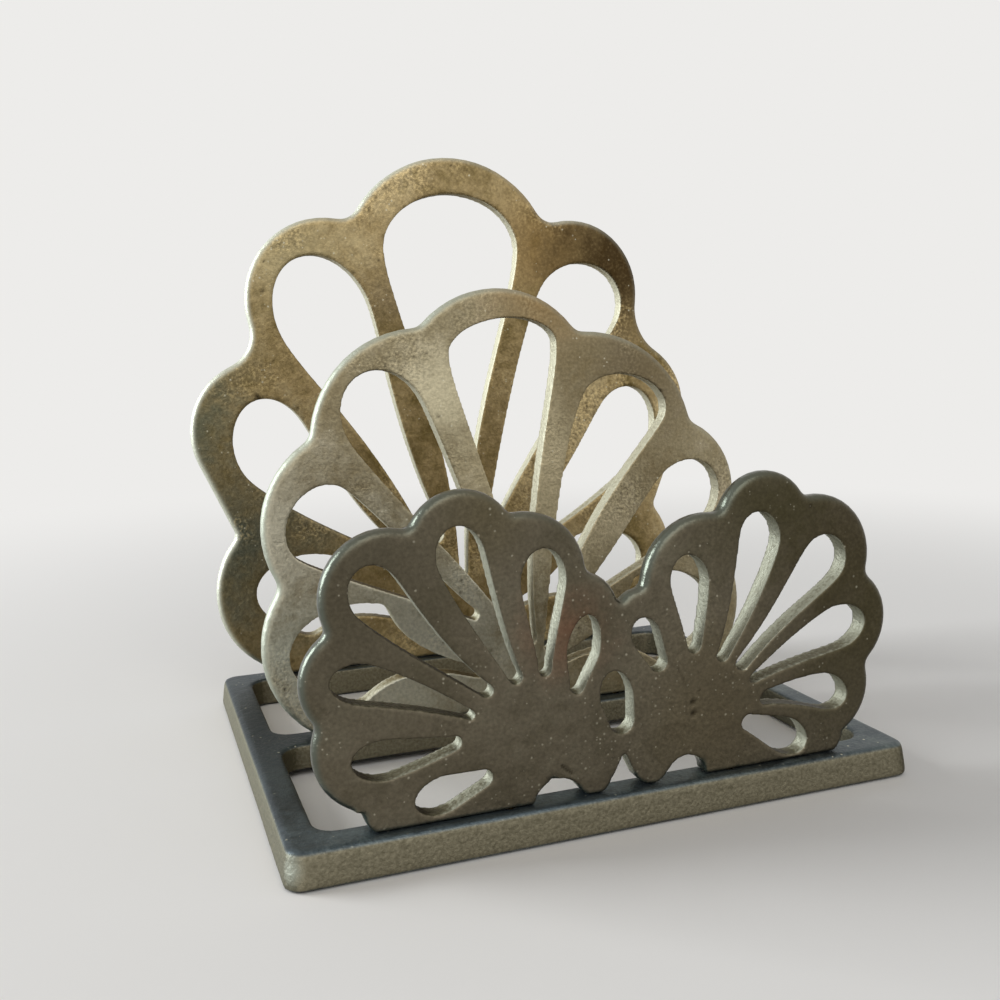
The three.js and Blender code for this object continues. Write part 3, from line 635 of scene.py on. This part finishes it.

    # painted light and shade: walls and the outline are paler on the side facing the window lamp
    lean = add(tree, "ShaderNodeVectorMath", {"operation": "DOT_PRODUCT"}, {0: where["Normal"], 1: PAINTED_LIGHT_SIDE})
    paled = add(tree, "ShaderNodeMapRange", inputs={
        0: lean.outputs["Value"], 1: -0.5, 2: 0.75, 3: 0.0, 4: 1.0})
    # painted highlight along the lip where a slot's wall meets the face, added to the painted light of the
    # side
    painted_lip_and_side_light = add(tree, "ShaderNodeMath", {"operation": "MULTIPLY_ADD"},
                     {0: kept["lip"], 1: 0.22, 2: paled})
    # the sand grain sways the wall's tone on top of the painted light and shade
    sand_and_painted_light = add(tree, "ShaderNodeMath", {"operation": "MULTIPLY_ADD"}, {0: swing, 1: 0.7, 2: painted_lip_and_side_light})
    wall = add(tree, "ShaderNodeValToRGB", inputs={0: sand_and_painted_light},
               stops=[(0.15, linear(raw[0])), (0.65, linear(raw[1])), (1.0, linear(raw[2]))])
    # painted highlight on the outline, on its lit side only
    painted_rim_highlight = add(tree, "ShaderNodeMath", {"operation": "MULTIPLY"}, {0: kept["rim"], 1: paled})
    colour = add(tree, "ShaderNodeMix", {"data_type": "RGBA"}, {0: painted_rim_highlight, 6: patina, 7: linear(rim)})
    colour = add(tree, "ShaderNodeMix", {"data_type": "RGBA"}, {0: kept["raw"], 6: colour, 7: wall})
    # a painted highlight down the base's front-left corner
    if painted_corner_highlight:
        centre, reach, bright = painted_corner_highlight
        off = add(tree, "ShaderNodeVectorMath", {"operation": "DISTANCE"},
                  {0: place, 1: [v * MM for v in centre]})
        near = add(tree, "ShaderNodeMapRange", {"interpolation_type": "SMOOTHSTEP"},
                   {0: off.outputs["Value"], 1: 0.0, 2: reach * MM, 3: 0.9, 4: 0.0})
        colour = add(tree, "ShaderNodeMix", {"data_type": "RGBA"}, {0: near, 6: colour, 7: linear(bright)})

    satin = add(tree, "ShaderNodeMapRange", inputs={0: kept["raw"], 1: 0.0, 2: 1.0, 3: rough, 4: RAW_ROUGH})
    edged = add(tree, "ShaderNodeMath", {"operation": "MULTIPLY_ADD"},
                {0: kept["rim"], 1: rim_rough - rough, 2: satin})
    patchy = add(tree, "ShaderNodeMath", {"operation": "MULTIPLY_ADD"}, {0: mottle, 1: 0.12, 2: edged})
    tooth = add(tree, "ShaderNodeMath", {"operation": "MULTIPLY"}, {0: gritty, 1: 0.45})
    fine = add(tree, "ShaderNodeMath", {"operation": "MULTIPLY"}, {0: sand, 1: tooth})
    height = add(tree, "ShaderNodeMath", {"operation": "MULTIPLY_ADD"}, {0: mottle, 1: 0.6, 2: fine})
    bump = add(tree, "ShaderNodeBump", inputs={"Strength": 0.9, "Distance": GRAIN_HEIGHT, "Height": height})
    metal = add(tree, "ShaderNodeBsdfPrincipled",
                inputs={"Base Color": colour, "Metallic": 1.0, "Roughness": patchy, "Normal": bump})
    add(tree, "ShaderNodeOutputMaterial", inputs={"Surface": metal})
    return material


def turned_brass():
    """Turned brass screws that have dulled to a clouded gold, browner and duller where grime lies.

    The rings that the lathe leaves, about 0.1 mm apart, are too fine to show on a head and aren't drawn.
    """
    material = bpy.data.materials.new("turned_brass")
    material.use_nodes = True
    tree = material.node_tree
    tree.nodes.clear()
    place = add(tree, "ShaderNodeTexCoord").outputs["Object"]
    grime = add(tree, "ShaderNodeTexNoise", inputs={"Vector": place, "Scale": 1 / GRIME, "Detail": 4.0})
    tint = add(tree, "ShaderNodeValToRGB", inputs={0: grime},
               stops=[(0.35, linear("6e5c35")), (0.5, linear("a08a55")), (0.7, linear("b8a36c"))])
    gloss = add(tree, "ShaderNodeMapRange", inputs={0: grime, 1: 0.3, 2: 0.7, 3: 0.5, 4: 0.3})
    bump = add(tree, "ShaderNodeBump", inputs={"Strength": 0.3, "Distance": GRIME_HEIGHT, "Height": grime})
    metal = add(tree, "ShaderNodeBsdfPrincipled",
                inputs={"Base Color": tint, "Metallic": 1.0, "Roughness": gloss, "Normal": bump})
    add(tree, "ShaderNodeOutputMaterial", inputs={"Surface": metal})
    return material


# ---------------------------------------------------------------- the rack

add_camera()
add_world()
add_floor()
add_lamp("window", place=(-1.75, 0.8, 0.7), width=1.0, height=1.3, power=46.0, colour="e9eff6")
add_lamp("fill", place=(-0.2, -1.1, 1.1), width=1.2, height=1.2, power=6.0, colour="ffffff")

# Places, reaches and the sizes of marks are in millimetres.
finish = cast_finish()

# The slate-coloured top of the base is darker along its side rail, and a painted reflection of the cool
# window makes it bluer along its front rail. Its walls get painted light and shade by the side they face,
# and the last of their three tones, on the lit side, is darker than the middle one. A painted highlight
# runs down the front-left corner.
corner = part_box(BASE)[0] / MM
rail_top = 8
base_brass = sand_cast_brass(
    "base_sand_cast_brass", ("3b4144", "4b5356", "646c6a"), "8d8c7c", ("55503e", "918b76", "6e6c5c"),
    patches=[((-30, corner.y + 5, rail_top), 60, "6b7981", 0.7),
             ((corner.x + 5, 15, rail_top), 60, "363d40", 0.85)],
    painted_corner_highlight=((corner.x + 0.5, corner.y + 0.5, 5), 4.4, "c0c5b8"))
add_casting(BASE, finish, base_brass, 0.55 * MM, **{
    "Face Direction": (0.0, 0.0, 1.0), "Coarseness": 0.2, "Grain Size": 1.3 * MM, "Grain Depth": 0.1 * MM,
    "Pit Spacing": 5 * MM, "Wear Passes": 2})

# On a plate a place is its x and its height. A patch has its centre, its reach, its colour and the most that
# shows of it; a mark has its two ends, its half width and its depth. "mesh" is the size of the mesh's faces,
# "edge" the worn round of the outline, and "coarse" how coarse the skin gets in places. "rim" is the colour
# of the painted highlight on the outline's lit side, and "raw" runs from painted shade to painted light.
plates = [
    {
        "node": FRONT, "mesh": 0.45, "edge": 2.0, "coarse": 0.12, "hub": (26, 18), "dust": ((-12, 18), 58),
        "face": ("595344", "665f50", "706a5a"), "grain_top": "8a816b", "rough": 0.38,
        "raw": ("352e23", "6d6955", "abac9b"), "rim": "60645a", "rim_rough": 0.24,
        "patches": [
            ((-13, 46), 15, "745744", 0.85), ((24, 24), 28, "625946", 0.8), ((-32, 72), 16, "5c543f", 0.7),
            ((58, 58), 40, "423b2a", 0.85), ((64, 32), 36, "47412d", 0.8), ((32, 70), 26, "443f2b", 0.85),
            ((-60, 58), 34, "514b3d", 0.8)],
        "marks": [
            ((16.5, 25.5), (16.5, 25.5), 0.7, 0.45), ((16.8, 22.8), (16.8, 22.8), 0.7, 0.45),
            ((12.6, 34.1), (15.0, 29.5), 0.35, 0.04), ((-15.6, 15.9), (-13.2, 13.8), 0.35, 0.15)],
    },
    {
        "node": MIDDLE, "mesh": 0.5, "edge": 1.9, "coarse": 0.8, "hub": (0, 18), "dust": ((-20, 70), 40),
        "face": ("837659", "968b6f", "b0a58b"), "grain_top": "c6b997", "rough": 0.4,
        "raw": ("46391f", "857a5b", "bfbca6"), "rim": "acb0a1", "rim_rough": 0.5,
        # the pale patch at (-64, 32) is a painted reflection
        "patches": [
            ((0, 66), 40, "c6b997", 0.8), ((-30, 26), 50, "c6c5b5", 0.85), ((-66, 60), 34, "c8c3af", 0.85),
            ((-64, 32), 20, "cdd1c3", 0.6), ((8, 120), 26, "94794f", 0.8), ((34, 98), 30, "6a5d46", 0.75),
            ((-22, 92), 20, "d0c7a8", 0.8)],
        "marks": [
            ((10, 118), (10, 118), 0.8, 0.3), ((48, 62), (48, 62), 0.7, 0.3), ((40, 92), (40, 92), 0.7, 0.3),
            ((30, 94), (30, 94), 0.6, 0.3)],
    },
    {
        "node": REAR, "mesh": 0.6, "edge": 1.9, "coarse": 1.0, "hub": (0, 22), "dust": ((-50, 125), 40),
        "face": ("75653f", "9d8a63", "b8a67e"), "grain_top": "d6c08c", "rough": 0.4,
        "raw": ("46391f", "857a5b", "bfbca6"), "rim": "c6c8b8", "rim_rough": 0.5,
        "patches": [
            ((-82, 48), 60, "4f564d", 0.9), ((-74, 104), 24, "6b654c", 0.8), ((30, 136), 26, "8a6f42", 0.7),
            ((56, 130), 38, "392912", 0.92), ((-50, 130), 26, "aa9d78", 0.7), ((-80, 84), 20, "5a5f50", 0.85),
            ((-22, 118), 16, "85765a", 0.7)],
        "marks": [
            ((-71, 128), (-71, 130), 0.6, 0.3), ((-30, 112), (-29, 110), 0.5, 0.3),
            ((-61, 92), (-60, 91), 0.7, 0.3), ((-58, 122), (-58, 122), 0.6, 0.3)],
    },
]
for plate in plates:
    face_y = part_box(plate["node"])[0].y / MM
    (dust_x, dust_z), dust_reach = plate["dust"]
    hub_x, hub_z = plate["hub"]
    brass = sand_cast_brass(
        plate["node"] + "_sand_cast_brass", plate["face"], plate["grain_top"], plate["raw"],
        rim=plate["rim"], rough=plate["rough"], rim_rough=plate["rim_rough"],
        dust=((dust_x, face_y, dust_z), dust_reach),
        patches=[((x, face_y, z), reach, colour, most) for (x, z), reach, colour, most in plate["patches"]])
    add_casting(plate["node"], finish, brass, plate["mesh"] * MM, plate["marks"], **{
        "Face Direction": (0.0, 1.0, 0.0), "Edge Radius": plate["edge"] * MM, "Foot Radius": 0.5 * MM,
        "Pierced": 1.0, "Hub Offset": hub_x * MM, "Hub Height": hub_z * MM, "Coarseness": plate["coarse"],
        "Grain Size": 1.2 * MM, "Grain Depth": 0.12 * MM, "Pit Spacing": 2.6 * MM, "Wear Passes": 1})
add_screws(turned_brass())

bpy.context.scene.view_settings.view_transform = "Standard"
